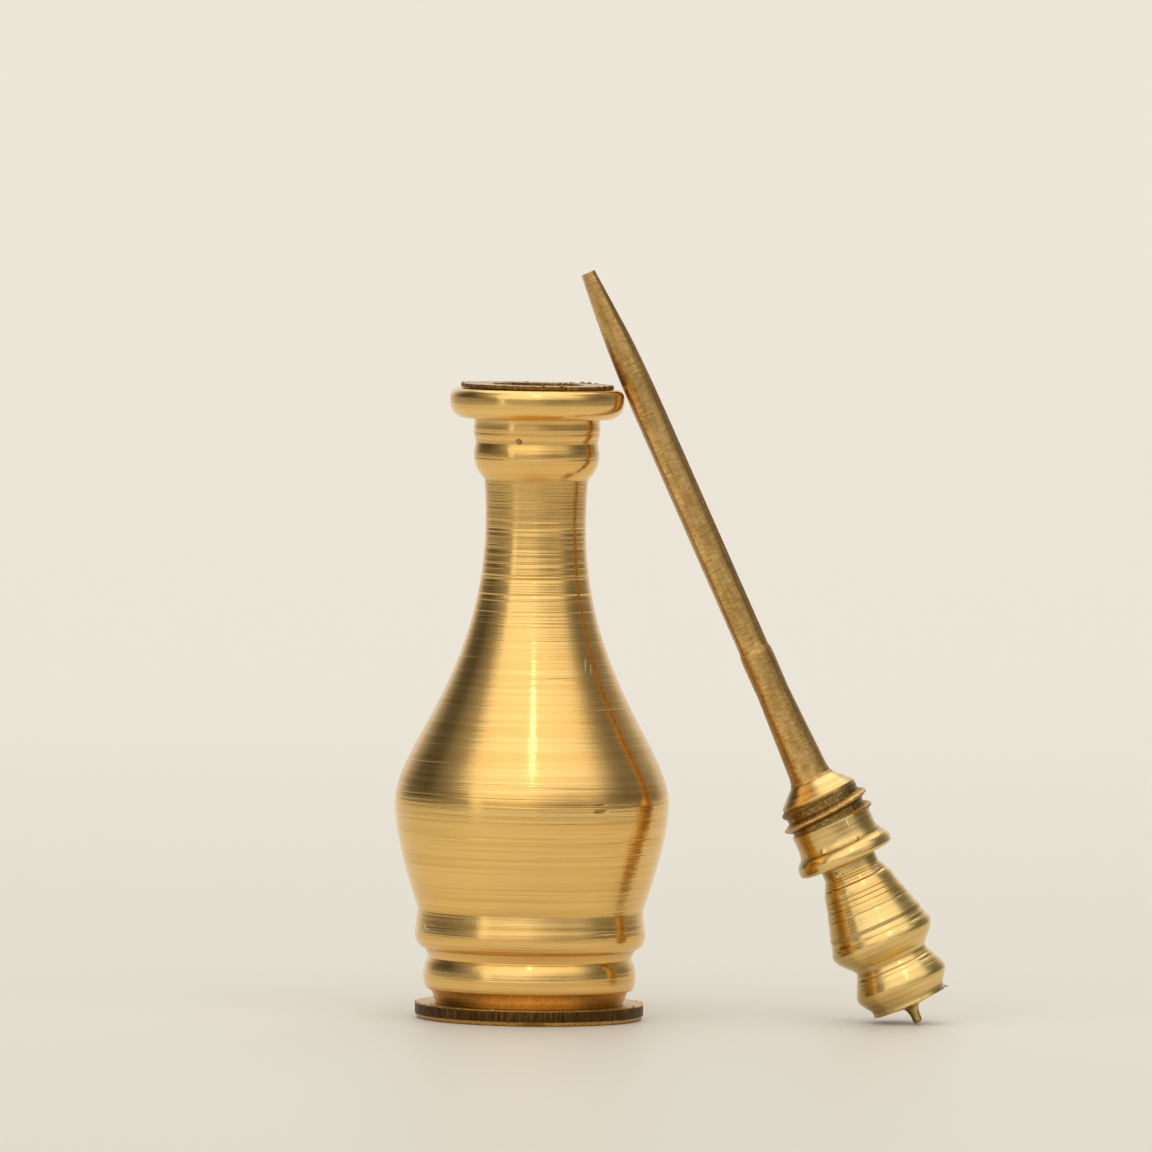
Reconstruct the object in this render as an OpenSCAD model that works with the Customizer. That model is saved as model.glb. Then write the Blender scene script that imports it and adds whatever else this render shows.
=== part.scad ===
// Kohl container: a turned brass bottle, with its screw stopper and applicator stick taken out.
// The bottle stands on z = 0 with its axis on Z. The stopper stands on its parting nib at +X,
// and its stick leans against the bottle's rim. All sizes are in millimetres.

/* [Bottle foot] */
// Diameter of the disc that closes the bottle
base_d = 21.7; // [20:0.1:25]
// Thickness of the disc at its edge
base_t = 1.47; // [1.2:0.05:2.5]
// Width of the rolled-over lower edge of the disc
base_roll = 0.35; // [0.1:0.05:0.6]
// Diameter of the groove just above the disc
groove_d = 17.8; // [17:0.1:18.4]
// Height of the groove
groove_h = 1.33; // [0.8:0.05:2]
// Greatest diameter of the foot bead
bead_d = 20.22; // [19.8:0.02:21.4]
// Height of the foot bead
bead_h = 2.98; // [2:0.1:4]
// Diameter of the waist above the foot bead
waist_d = 19.24; // [18.6:0.02:19.7]
// Height of the cone above the waist
cove_h = 0.86; // [0.5:0.05:1.5]
// Greatest diameter of the foot band
band_d = 21.96; // [21.4:0.02:23]
// Height of the foot band
band_h = 3.69; // [2.8:0.05:5]
// Diameter where the band meets the belly
band_top_d = 21.4; // [20.8:0.05:21.9]

/* [Bottle body] */
// Diameter at the widest turn of the belly
belly_d = 26.06; // [24:0.1:30]
// Height of the lower belly, from the band to the widest turn
belly_h = 10.27; // [8:0.1:14]
// Height of the shoulder, from the widest turn to the narrowest turn of the neck
shoulder_h = 26.7; // [24:0.1:34]
// Diameter at the narrowest turn of the neck
neck_d = 9.52; // [8.8:0.02:10.4]
// Height of the straight upper neck
neck_h = 3.9; // [2:0.1:6]
// Diameter at the top of the neck
neck_top_d = 9.84; // [9.2:0.02:10.6]

/* [Bottle mouth] */
// Greatest diameter of the bead under the collar
collar_bead_d = 11.86; // [11.2:0.02:12.4]
// Height of the bead under the collar
collar_bead_h = 3.5; // [2.8:0.1:4.5]
// Diameter of the groove between bead and collar
collar_groove_d = 11.54; // [10.8:0.02:11.8]
// Diameter of the collar
collar_d = 12.1; // [11.8:0.02:12.8]
// Height of the collar
collar_h = 2.3; // [1.6:0.1:3.5]
// Diameter of the rim roll
rim_d = 16.56; // [15.8:0.02:19]
// Radius of the rim roll's lower side
rim_low_r = 1.5; // [1:0.05:1.7]
// Radius of the rim roll's upper edge
rim_top_r = 0.6; // [0.3:0.05:0.9]
// Height of the straight side between the two radii
rim_side_h = 0.75; // [0.3:0.05:1.5]
// Outer diameter of the thin ring on the rim
ring_d = 14.5; // [12:0.1:14.8]
// Thickness of the thin ring
ring_t = 0.35; // [0.2:0.05:0.6]

/* [Bottle inside] */
// Diameter of the mouth at the tips of its thread
mouth_d = 8.1; // [7.6:0.02:8.5]
// Diameter of the bore down the neck
neck_bore_d = 6; // [5:0.1:6.6]
// Diameter of the reservoir
reservoir_d = 14.1; // [11:0.1:15.5]
// Depth to which the reservoir is bored from below
reservoir_h = 24; // [16:0.5:25]
// Full angle of the reservoir's drilled end
drill_angle = 118; // [90:1:140]
// Thickness left in the middle of the disc, under the applicator's tip
floor_t = 0.6; // [0.4:0.05:1]
// Diameter of the recess in the upper side of the disc
recess_d = 12.6; // [8:0.1:13]

/* [Stopper] */
// Length of the plain shank between flange and thread
shank_l = 2.46; // [1.6:0.02:3.2]
// Length of the threaded stretch
thread_l = 2.8; // [2:0.05:3.6]
// Depth of the thread's root below the plain shank
thread_root = 0.2; // [0.1:0.02:0.4]
// Diameter at the small end of the nose cone
nose_d = 4.2; // [4:0.05:4.6]
// Half angle of the nose cone
nose_angle = 45; // [35:1:50]
// Diameter of the flange
flange_d = 9.42; // [9.2:0.02:11]
// Thickness of the flange
flange_t = 1.6; // [1.1:0.02:2]
// Diameter of the neck under the flange
finial_neck_d = 5.44; // [4.8:0.02:6]
// Length of the bell, from the flange to its widest turn
bell_h = 8.05; // [6:0.05:10]
// Greatest diameter of the bell
bell_d = 10.08; // [9.2:0.02:11]
// Length of the undercut between bell and waist
undercut_h = 2.37; // [1.6:0.01:3]
// Diameter of the finial's waist
finial_waist_d = 7.08; // [5.8:0.02:7.6]
// Length of the bulb
bulb_h = 3.78; // [3.2:0.02:5]
// Greatest diameter of the bulb
bulb_d = 9.02; // [8.4:0.02:9.6]
// Diameter of the end disc
end_d = 7.4; // [6.6:0.02:8]
// Thickness of the end disc at its edge
end_h = 0.6; // [0.3:0.02:1]
// Height of the flat cone on the end disc
end_cone_h = 0.38; // [0.1:0.02:0.8]
// Diameter of the parting nib
nib_d = 0.9; // [0.6:0.02:1.4]
// Length of the parting nib
nib_l = 1.7; // [1:0.05:2.6]

/* [Applicator stick] */
// Diameter of the stick at its root
stick_root_d = 3.9; // [3.6:0.02:4]
// Diameter of the stick where the root's taper ends
stick_low_d = 3.1; // [2.9:0.02:3.5]
// Diameter of the upper stick
stick_d = 2.9; // [2.5:0.02:3]
// Diameter of the flat tip
tip_d = 1.4; // [1:0.02:2]
// Length of the root's taper
root_taper_l = 9; // [6:0.5:12]
// Distance from the root to the step in the stick
step_l = 13; // [12.5:0.5:16]
// Length of the tapered tip
tip_l = 16.4; // [12:0.1:20]
// Depth of the filed flats
flat_depth = 0.07; // [0.03:0.01:0.15]
// Diameter of the tenon that holds the stick in the stopper
tenon_d = 2.6; // [2:0.1:2.8]
// Length of the tenon
tenon_l = 4.5; // [3:0.1:6]

/* [Fits] */
// Radial gap between the plain shank and the mouth
shank_gap = 0.163; // [0.08:0.005:0.3]
// Gap along the axis between the seated nose and its seat
seat_gap = 0.4; // [0.2:0.05:0.8]
// Gap between the seated applicator's tip and the floor of the bottle
tip_gap = 0.25; // [0.15:0.05:1]
// Extra radius of the ring's hole over the mouth
ring_gap = 0.1; // [0.05:0.01:0.2]
// Radial gap of the tenon in its bore
tenon_gap = 0.02; // [0.01:0.01:0.05]
// Gap between the leaning stick and the rim
lean_gap = 0.05; // [0.03:0.01:0.2]

/* [Pose] */
// Angle between the leaning stopper's axis and the bottle's
lean = 24.6; // [20:0.1:34]

/* [Hidden] */
$fn = 96;

// Heights of the bottle's turned features, from the table upwards
bead_z = base_t + groove_h;
waist_z = bead_z + bead_h;
band_z = waist_z + cove_h;
band_top_z = band_z + band_h;
belly_z = band_top_z + belly_h;
neck_z = belly_z + shoulder_h;
neck_top_z = neck_z + neck_h;
collar_groove_z = neck_top_z + collar_bead_h;
rim_z = collar_groove_z + collar_h;
rim_top_z = rim_z + rim_low_r + rim_side_h + rim_top_r;
mouth_z = rim_top_z + ring_t;

// Radii of the bottle's outside
groove_r = groove_d / 2;
bead_r = bead_d / 2;
waist_r = waist_d / 2;
band_r = band_d / 2;
band_top_r = band_top_d / 2;
belly_r = belly_d / 2;
neck_r = neck_d / 2;
neck_top_r = neck_top_d / 2;
collar_bead_r = collar_bead_d / 2;
collar_groove_r = collar_groove_d / 2;
collar_r = collar_d / 2;
rim_r = rim_d / 2;

// How much wider the groove is at its top, how far the bead's lower edge stands in from its widest
// turn, and the band's from midway to the waist
groove_flare = 0.5;
bead_lip = 0.33;
band_lip = 0.28;
band_foot_r = (waist_r + band_r) / 2 - band_lip;
// Shares of the band's and the collar's heights that their lower slopes take
band_slope = 0.41;
collar_slope = 0.4;

// Fullness of the bottle's turned curves at their lower and upper ends: how far the curve's
// handle stands past the form's radius, and at what share of the form's height
bead_low = [0.09, 0.15];
bead_top = [0.19, 0.74];
band_low = [-0.5, 0.02];
band_top = [0, 0.16];
belly_low = [-0.776, 0.443];
belly_top = [0, 0.776];
shoulder_low = [0, 0.191];
shoulder_top = [0, 0.446];
neck_low = [0, 0.5];
neck_top = [-0.06, 0.8];
collar_low = [0.98, 0.31];
collar_top = [0.27, 0.57];

// The same for the finial, along its axis from the nib upwards
nib_low_full = [0.05, 0.3];
nib_top_full = [0.12, 0.95];
bulb_low = [0.32, 0.45];
bulb_top = [0.29, 0.27];
undercut_low = [0, 0.23];
undercut_top = [0.03, 0.6];
flange_low = [0, 0.42];
flange_top = [-0.36, 0.87];

// Points on a short, a rounded and a full curve, and on the shoulder
short_steps = 4;
round_steps = 6;
full_steps = 10;
shoulder_steps = 22;

// The stopper's shank, thread root and nose follow the mouth that they screw into
mouth_r = mouth_d / 2;
shank_r = mouth_r - shank_gap;
core_r = shank_r - thread_root;
nose_r = nose_d / 2;
nose_z = shank_l + thread_l;
nose_top_z = nose_z + (core_r - nose_r) / tan(nose_angle);
// Half the length of the slope from the shank down to the thread's root
root_slope = 0.1;

// The mouth's seat lies parallel to the nose, a gap further in
neck_bore_r = neck_bore_d / 2;
socket_z = mouth_z - nose_z - seat_gap + (mouth_r - core_r) / tan(nose_angle);
seat_end_z = socket_z - (mouth_r - neck_bore_r) / tan(nose_angle);

// Reservoir, bored from the underside of the body
reservoir_r = reservoir_d / 2;
reservoir_z = base_t + reservoir_h;
reservoir_top_z = reservoir_z + (reservoir_r - neck_bore_r) / tan(drill_angle / 2);

// Disc and ring
base_r = base_d / 2;
roll_in = 0.7 * base_roll;
recess_r = recess_d / 2;
ring_r = ring_d / 2;
ring_hole_r = mouth_r + ring_gap;

// Lengths along the stopper's axis, from the flange's seat towards the nib
flange_r = flange_d / 2;
// The flange's upper edge slopes off over a share of its thickness, its lower edge is rounded, and
// a flat seat stands out from the shank
flange_ease_h = 0.58 * flange_t;
flange_low_r = 0.25 * flange_t;
flange_seat_w = 0.2;
bell_low = flange_t + bell_h;
finial_waist_low = bell_low + undercut_h;
crease_low = finial_waist_low + bulb_h;
end_low = crease_low + end_h;
nib_root_low = end_low + end_cone_h;
nib_low = nib_root_low + nib_l;

// Radii of the finial. The bell turns out a little at its widest edge, and flares in a throat
// from the short neck under the flange.
finial_neck_r = finial_neck_d / 2;
bell_r = bell_d / 2;
bell_edge = [0.05, 0.25];
bell_ease = [0.24, 0.6];
bell_throat = [0.71, 2.5];
bell_neck = [0.02, 1.05];
finial_waist_r = finial_waist_d / 2;
bulb_r = bulb_d / 2;
end_r = end_d / 2;
nib_r = nib_d / 2;
nib_tip_r = 0.6 * nib_r;
nib_tip_l = 0.2;
nib_straight_l = 0.4 * nib_l;
nib_flare = 0.4;

// The stick reaches from the nose to just above the bottle's floor when the stopper is home
stick_top_z = mouth_z - floor_t - tip_gap;
taper_z = nose_top_z + root_taper_l;
step_z = nose_top_z + step_l;
tip_z = stick_top_z - tip_l;
stick_root_r = stick_root_d / 2;
stick_low_r = stick_low_d / 2;
stick_r = stick_d / 2;
tip_r = tip_d / 2;
tip_power = 2.5;
// The step swells a little just before it drops to the upper stick
step_swell = 0.04;
step_before = 0.8;
step_after = 0.6;

// Tenon and its bore
tenon_r = tenon_d / 2;
tenon_z = nose_top_z - tenon_l;
tenon_bore_r = tenon_r + tenon_gap;
tenon_bore_z = tenon_z - tenon_gap;

// Filed flats: their angles round the stick, where those on the shaft begin, the share of the tip
// that its own flats follow, and how far the cuts run on
flat_turns = [12, 74, 128, 201, 268, 322];
flat_z = step_z + 1;
tip_flat_share = 0.55;
tip_flat_z = tip_z + tip_flat_share * tip_l;
run_on = 3;

// Where the stopper stands: its nib touches the table and its stick the rim's upper edge
seat_height = nib_low * cos(lean) + nib_tip_r * sin(lean);
rim_edge = [rim_r - rim_top_r, rim_top_z - rim_top_r];
rim_along = (rim_edge[1] - seat_height + (rim_top_r + stick_r) * sin(lean)) / cos(lean);
lean_reach = rim_top_r + stick_radius(rim_along) + lean_gap;
seat_x = rim_edge[0] + ((rim_edge[1] - seat_height) * sin(lean) + lean_reach) / cos(lean);

// Points on an arc about c, from angle a0 to a1
function arc(c, r, a0, a1, n) =
    [for (i = [0:n]) c + r * [cos(a0 + (a1 - a0) * i / n), sin(a0 + (a1 - a0) * i / n)]];

// Points on a cubic curve with two handles, its first point left out
function curve(p, h1, h2, q, n) =
    [for (i = [1:n]) let (t = i / n, s = 1 - t)
        s * s * s * p + 3 * s * s * t * h1 + 3 * s * t * t * h2 + t * t * t * q];

// Handle of a curve on a form that has radius r and stands h high on z
function handle(r, z, h, full) = [r + full[0], z + full[1] * h];

// Radius of the upper stick at a height above the flange's seat
function stick_radius(z) =
    z <= tip_z ? stick_r
    : stick_r - (stick_r - tip_r) * pow(min(1, (z - tip_z) / tip_l), tip_power);

// Outside of the body, from the groove over the disc up to the rim
function body_outside() = concat(
    [[groove_r, base_t], [groove_r + groove_flare, bead_z], [bead_r - bead_lip, bead_z]],
    curve([bead_r - bead_lip, bead_z], handle(bead_r, bead_z, bead_h, bead_low),
        handle(bead_r, bead_z, bead_h, bead_top), [waist_r, waist_z], full_steps),
    [[band_foot_r, band_z]],
    curve([band_foot_r, band_z], handle(band_r, band_z, band_h, band_low),
        handle(band_r, band_z, band_h, band_top), [band_r, band_z + band_slope * band_h],
        round_steps),
    [[band_top_r, band_top_z]],
    curve([band_top_r, band_top_z], handle(belly_r, band_top_z, belly_h, belly_low),
        handle(belly_r, band_top_z, belly_h, belly_top), [belly_r, belly_z], full_steps),
    curve([belly_r, belly_z], handle(belly_r, belly_z, shoulder_h, shoulder_low),
        handle(neck_r, belly_z, shoulder_h, shoulder_top), [neck_r, neck_z], shoulder_steps),
    curve([neck_r, neck_z], handle(neck_r, neck_z, neck_h, neck_low),
        handle(neck_top_r, neck_z, neck_h, neck_top), [neck_top_r, neck_top_z], short_steps),
    curve([neck_top_r, neck_top_z], handle(neck_top_r, neck_top_z, collar_bead_h, collar_low),
        handle(collar_bead_r, neck_top_z, collar_bead_h, collar_top),
        [collar_groove_r, collar_groove_z], full_steps),
    [[collar_r, collar_groove_z + collar_slope * collar_h], [collar_r, rim_z]],
    arc([rim_r - rim_low_r, rim_z + rim_low_r], rim_low_r, -90, 0, full_steps),
    arc(rim_edge, rim_top_r, 0, 90, round_steps)
);

// Inside of the body, from the mouth down to the reservoir's open end
function body_inside() = [
    [mouth_r, rim_top_z],
    [mouth_r, socket_z],
    [neck_bore_r, seat_end_z],
    [neck_bore_r, reservoir_top_z],
    [reservoir_r, reservoir_z],
    [reservoir_r, base_t]
];

// Nib, end disc, bulb, undercut and bell, from the nib's end upwards
function finial_outside() = concat(
    [[0, -nib_low], [nib_tip_r, -nib_low], [nib_r, nib_tip_l - nib_low],
        [nib_r, nib_straight_l - nib_low]],
    curve([nib_r, nib_straight_l - nib_low],
        handle(nib_r, nib_straight_l - nib_low, nib_l - nib_straight_l, nib_low_full),
        handle(nib_r, nib_straight_l - nib_low, nib_l - nib_straight_l, nib_top_full),
        [nib_r + nib_flare, -nib_root_low], short_steps),
    [[end_r, -end_low], [end_r, -crease_low]],
    curve([end_r, -crease_low], handle(bulb_r, -crease_low, bulb_h, bulb_low),
        handle(bulb_r, -crease_low, bulb_h, bulb_top),
        [finial_waist_r, -finial_waist_low], full_steps),
    curve([finial_waist_r, -finial_waist_low],
        handle(finial_waist_r, -finial_waist_low, undercut_h, undercut_low),
        handle(bell_r, -finial_waist_low, undercut_h, undercut_top),
        [bell_r, -bell_low], full_steps),
    [[bell_r - bell_edge[0], bell_edge[1] - bell_low],
        [bell_r - bell_ease[0], bell_ease[1] - bell_low],
        [finial_neck_r + bell_throat[0], -flange_t - bell_throat[1]],
        [finial_neck_r + bell_neck[0], -flange_t - bell_neck[1]],
        [finial_neck_r, -flange_t]]
);

// Flange, plain shank, thread root and nose, from the flange's lower side upwards
function shank_outside() = concat(
    arc([flange_r - flange_low_r, flange_low_r - flange_t], flange_low_r, -90, 0, short_steps),
    [[flange_r, -flange_ease_h]],
    curve([flange_r, -flange_ease_h], handle(flange_r, -flange_ease_h, flange_ease_h, flange_low),
        handle(flange_r, -flange_ease_h, flange_ease_h, flange_top), [shank_r + flange_seat_w, 0],
        round_steps),
    [[shank_r, 0], [shank_r, shank_l - root_slope], [core_r, shank_l + root_slope],
        [core_r, nose_z], [nose_r, nose_top_z]]
);

// Stick outside, from its root on the nose to its flat tip
function stick_outside() = concat(
    [[stick_root_r, nose_top_z], [stick_low_r, taper_z],
        [stick_low_r + step_swell, step_z - step_before], [stick_r, step_z + step_after]],
    [for (i = [0:full_steps]) let (z = tip_z + tip_l * i / full_steps) [stick_radius(z), z]]
);

// Moves a piece that is drawn on the seated stopper's axis to where it leans
module leaning() {
    translate([seat_x, 0, seat_height]) rotate([0, -lean, 0]) children();
}

// A filed flat at an angle round the stick, on the line from radius r0 at z0 to radius r1 at z1,
// run on past both ends, where it leaves the metal or stops in a small shoulder
module flat_cut(turn, z0, z1, r0, r1, before, after) {
    slope = atan2(r1 - r0, z1 - z0);
    length = before + (z1 - z0) / cos(slope) + after;
    rotate([0, 0, turn]) translate([r0 - flat_depth, 0, z0]) rotate([0, slope, 0])
        translate([0, -stick_d, -before]) cube([stick_d, 2 * stick_d, length]);
}

module bottle_body() {
    color("#c9a04a") rotate_extrude() polygon(concat(body_outside(), body_inside()));
}

module base_disc() {
    color("#6b5128") rotate_extrude() polygon([
        [0, 0],
        [base_r - roll_in, 0],
        [base_r, base_roll],
        [base_r, base_t],
        [recess_r, base_t],
        [recess_r, floor_t],
        [0, floor_t]
    ]);
}

module mouth_ring() {
    color("#6b5128") translate([0, 0, rim_top_z]) rotate_extrude()
        translate([ring_hole_r, 0]) square([ring_r - ring_hole_r, ring_t]);
}

module stopper() {
    color("#c9a04a") leaning() rotate_extrude() polygon(concat(
        finial_outside(),
        shank_outside(),
        [[tenon_bore_r, nose_top_z], [tenon_bore_r, tenon_bore_z], [0, tenon_bore_z]]
    ));
}

module applicator_stick() {
    color("#b08f4c") leaning() difference() {
        rotate_extrude() polygon(concat(
            [[0, tenon_z], [tenon_r, tenon_z], [tenon_r, nose_top_z]],
            stick_outside(),
            [[0, stick_top_z]]
        ));
        for (turn = flat_turns) {
            flat_cut(turn, flat_z, tip_z, stick_r, stick_r, 0, run_on);
            flat_cut(turn, tip_flat_z, stick_top_z, stick_radius(tip_flat_z), tip_r, run_on, run_on);
        }
    }
}

bottle_body();
base_disc();
mouth_ring();
stopper();
applicator_stick();
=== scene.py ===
# Turned brass kohl bottle, its screw stopper and applicator taken out and leaning on the rim.
# Sizes are in millimetres and become metres where a piece is made.

import math
import random

import bpy
from mathutils import Euler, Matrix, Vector


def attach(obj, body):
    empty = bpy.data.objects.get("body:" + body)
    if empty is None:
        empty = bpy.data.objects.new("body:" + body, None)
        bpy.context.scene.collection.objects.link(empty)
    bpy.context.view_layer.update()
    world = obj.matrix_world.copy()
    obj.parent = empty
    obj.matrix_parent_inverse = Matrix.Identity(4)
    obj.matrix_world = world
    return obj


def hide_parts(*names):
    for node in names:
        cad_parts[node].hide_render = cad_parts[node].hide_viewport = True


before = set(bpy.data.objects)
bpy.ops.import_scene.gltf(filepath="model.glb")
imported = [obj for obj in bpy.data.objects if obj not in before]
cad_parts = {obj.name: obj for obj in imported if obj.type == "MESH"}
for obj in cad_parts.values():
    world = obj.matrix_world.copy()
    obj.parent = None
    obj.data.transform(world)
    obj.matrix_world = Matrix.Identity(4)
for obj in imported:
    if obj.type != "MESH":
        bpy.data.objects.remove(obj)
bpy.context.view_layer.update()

MM = 0.001

# How finely the pieces are turned and wound: steps in one turn
TURNS = 192
EDGE_TURNS = 288
STICK_TURNS = 72
THREAD_TURNS = 96

# The bottle's heights, from the table upwards
BASE_T = 1.47
FLOOR_T = 0.6
BEAD_Z = 2.80
WAIST_Z = 5.78
BAND_Z = 6.64
BAND_TOP_Z = 10.33
BELLY_Z = 20.60
NECK_Z = 47.30
NECK_TOP_Z = 51.20
COLLAR_GROOVE_Z = 54.70
COLLAR_LIP_Z = 55.65
COLLAR_DIP_Z = 56.45
RIM_Z = 57.00
RIM_TOP_Z = 59.85
MOUTH_Z = 60.20

# The bottle's radii
BASE_R = 10.85
RECESS_R = 6.3
GROOVE_R = 8.9
GROOVE_TOP_R = 9.4
BEAD_R = 10.11
WAIST_R = 9.62
BAND_FOOT_R = 10.02
BAND_R = 10.98
BAND_TOP_R = 10.70
BELLY_R = 13.03
NECK_R = 4.76
NECK_TOP_R = 4.92
COLLAR_BEAD_R = 5.93
COLLAR_GROOVE_R = 5.77
COLLAR_R = 6.05
RIM_R = 8.28
RIM_LOW_R = 1.5
RIM_EDGE_R = 0.85
RING_R = 7.25
RING_HOLE_R = 4.15
MOUTH_R = 4.05
THREAD_ROOT_R = 4.45
NECK_BORE_R = 3.0
RESERVOIR_R = 7.05
SOCKET_Z = 54.903
SEAT_END_Z = 53.853
RESERVOIR_Z = 25.47
RESERVOIR_TOP_Z = 27.904

# The stopper, measured along its own axis from the flange's seat: towards the stick is up
SHANK_R = 3.887
SHANK_L = 2.46
CORE_R = 3.687
THREAD_TOP = 5.26
NOSE_R = 2.1
NOSE_TOP = 6.847
FLANGE_R = 4.71
FLANGE_T = 1.60
FLANGE_EASE = 0.928
FINIAL_NECK_R = 2.72
BELL_LOW = 9.65
BELL_R = 5.04
FINIAL_WAIST_LOW = 12.02
FINIAL_WAIST_R = 3.54
BULB_R = 4.51
CREASE_LOW = 15.80
END_LOW = 16.40
END_R = 3.70
NIB_ROOT_LOW = 16.78
NIB_LOW = 18.48
NIB_STRAIGHT_LOW = 17.80
NIB_R = 0.45
NIB_TIP_R = 0.27

# The thread, right-handed with one start: how far up the stopper its ridge goes and the angle in
# degrees at which it starts, how far up the mouth the tapped ridge goes, and the corners of either
PITCH = 1.35
CREST_R = 4.34
THREAD_LOW = 2.10
THREAD_HIGH = 5.35
THREAD_START = -110.0
TAP_LOW = SOCKET_Z + 0.9
TAP_HIGH = RIM_TOP_Z - 0.35
RIDGE_CORNERS = 4

# Deeper single cuts of the tool, as heights and depths: on the collar, the neck and the belly, and
# on the bell
BODY_CUTS = ((55.66, 0.03), (53.28, 0.03), (50.0, 0.015), (48.75, 0.012), (47.3, 0.035),
             (46.65, 0.03), (46.3, 0.02), (44.7, 0.015), (43.35, 0.012), (42.2, 0.035),
             (41.85, 0.022), (40.4, 0.03), (39.75, 0.012), (38.8, 0.015), (37.7, 0.012),
             (36.1, 0.01), (34.4, 0.01), (19.95, 0.012), (19.35, 0.012), (17.6, 0.008))
BELL_CUTS = ((-3.55, 0.03), (-4.68, 0.09), (-5.12, 0.07), (-5.62, 0.09), (-6.5, 0.02),
             (-12.5, 0.03), (-12.95, 0.02))

# The stick
STICK_ROOT_R = 1.95
STICK_LOW_R = 1.55
STICK_R = 1.45
TAPER_TOP = 15.847
STEP = 19.847
TIP_START = 42.95
STICK_TOP = 59.35
TIP_R = 0.7
TIP_POWER = 2.5
FLAT_DEPTH = 0.07
FLAT_TURNS = (15, 75, 130, 193, 243, 288, 330)

# Where the longest splinters of the base disc and of the stopper's end disc stand, in degrees
DISC_SPLINTER = 187
END_SPLINTER = 0

# The lathe's marks, in millimetres: broad swells, and streaks as a share of the fine spacing. On a
# flat face the tool went inwards, and its lines lie further apart by one over this share.
SWELL_SPACING = 5.0
STREAK_SHARE = 1.3
FACE_SHARE = 0.37

# Where the stopper leans
LEAN = math.radians(24.6)
SEAT = Vector((29.3386, 0.0, 16.9151)) * MM
AXIS = Vector((-math.sin(LEAN), 0.0, math.cos(LEAN)))

# The camera and the narrow lamp: their places in metres, and the lens in millimetres
CAMERA_PLACE = Vector((3.89, -1289.0, 101.4)) * MM
CAMERA_AIM = Vector((3.89, 0.0, 42.1)) * MM
CAMERA_ROLL = math.radians(0.8)
LENS = 425.0
LAMP_PLACE = Vector((0.0, -0.662, 0.908))
LAMP_AIM = Vector((0.0, 0.0, 0.03))

# The bell's side from its edge up to its throat, in the flats and swells that the tool left
BELL_SIDE = [(4.73, -8.70), (4.60, -8.40), (4.585, -8.00), (4.48, -7.72), (4.37, -7.40), (4.31, -7.15),
             (4.20, -6.90), (4.13, -6.65), (4.03, -6.30), (3.95, -6.00), (3.84, -5.70),
             (3.76, -5.45), (3.70, -5.20), (3.64, -4.92), (3.57, -4.65), (3.49, -4.37), (3.43, -4.10)]

# Brightness of the room by direction, from behind over the left, the front and the right to behind
# again: at the horizon, a little above it, higher and highest, and the heights between which each
# of the last three takes over from the one below it
ROOM_GAIN = 1.5
ROOM_LOW = [(-180, 0.74), (-155, 0.68), (-135, 0.42), (-70, 0.38), (-51, 0.40), (-49, 0.98), (-44, 0.98),
            (-42, 0.38), (0, 0.32), (12, 0.24), (45, 0.22), (60, 0.30), (75, 0.33), (110, 0.33),
            (135, 0.42), (155, 0.68), (180, 0.74)]
ROOM_MID = [(-180, 0.80), (-155, 0.72), (-140, 0.34), (-128, 0.13), (-106, 0.13), (-74, 0.22), (-56, 0.32),
            (-51, 1.00), (-44, 1.00), (-40, 0.72), (-15, 0.80), (0, 0.70), (12, 0.46), (35, 0.30),
            (48, 0.36), (62, 0.30), (76, 0.18), (106, 0.16), (132, 0.22), (150, 0.66), (180, 0.80)]
ROOM_HIGH = [(-180, 0.90), (-158, 0.82), (-145, 0.40), (-128, 0.12), (-106, 0.06), (-90, 0.15),
             (-74, 0.28), (-63, 0.44), (-58, 0.60), (-54, 1.15), (-35, 1.26), (-5, 1.26), (12, 1.00),
             (35, 0.76), (50, 0.76), (62, 0.58), (72, 0.30), (90, 0.16), (112, 0.20), (128, 0.28),
             (145, 0.50), (158, 0.82), (180, 0.90)]
ROOM_TOP = [(-180, 0.90), (-158, 0.82), (-145, 0.40), (-130, 0.11), (-115, 0.12), (-100, 0.26),
            (-86, 0.36), (-78, 0.50), (-70, 0.90), (-66, 1.15), (-35, 1.30), (20, 1.30), (64, 1.12),
            (76, 0.72), (87, 0.38), (100, 0.24), (112, 0.20), (130, 0.26), (145, 0.50), (158, 0.82),
            (180, 0.90)]
ROOM_STEPS = ((0.0, 0.09), (0.09, 0.31), (0.34, 0.66))


# Outlines, as points of radius and height

def arc(cx, cz, radius, start, end, steps):
    """Points on an arc round a centre, between two angles in degrees."""
    points = []
    for i in range(steps + 1):
        angle = math.radians(start + (end - start) * i / steps)
        points.append((cx + radius * math.cos(angle), cz + radius * math.sin(angle)))
    return points


def curve(p, first, second, q, steps):
    """Points on a cubic from p to q with two handles, p itself left out."""
    points = []
    for i in range(1, steps + 1):
        t = i / steps
        s = 1 - t
        weights = (s * s * s, 3 * s * s * t, 3 * s * t * t, t * t * t)
        corners = (p, first, second, q)
        x = sum(w * c[0] for w, c in zip(weights, corners))
        z = sum(w * c[1] for w, c in zip(weights, corners))
        points.append((x, z))
    return points


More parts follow.
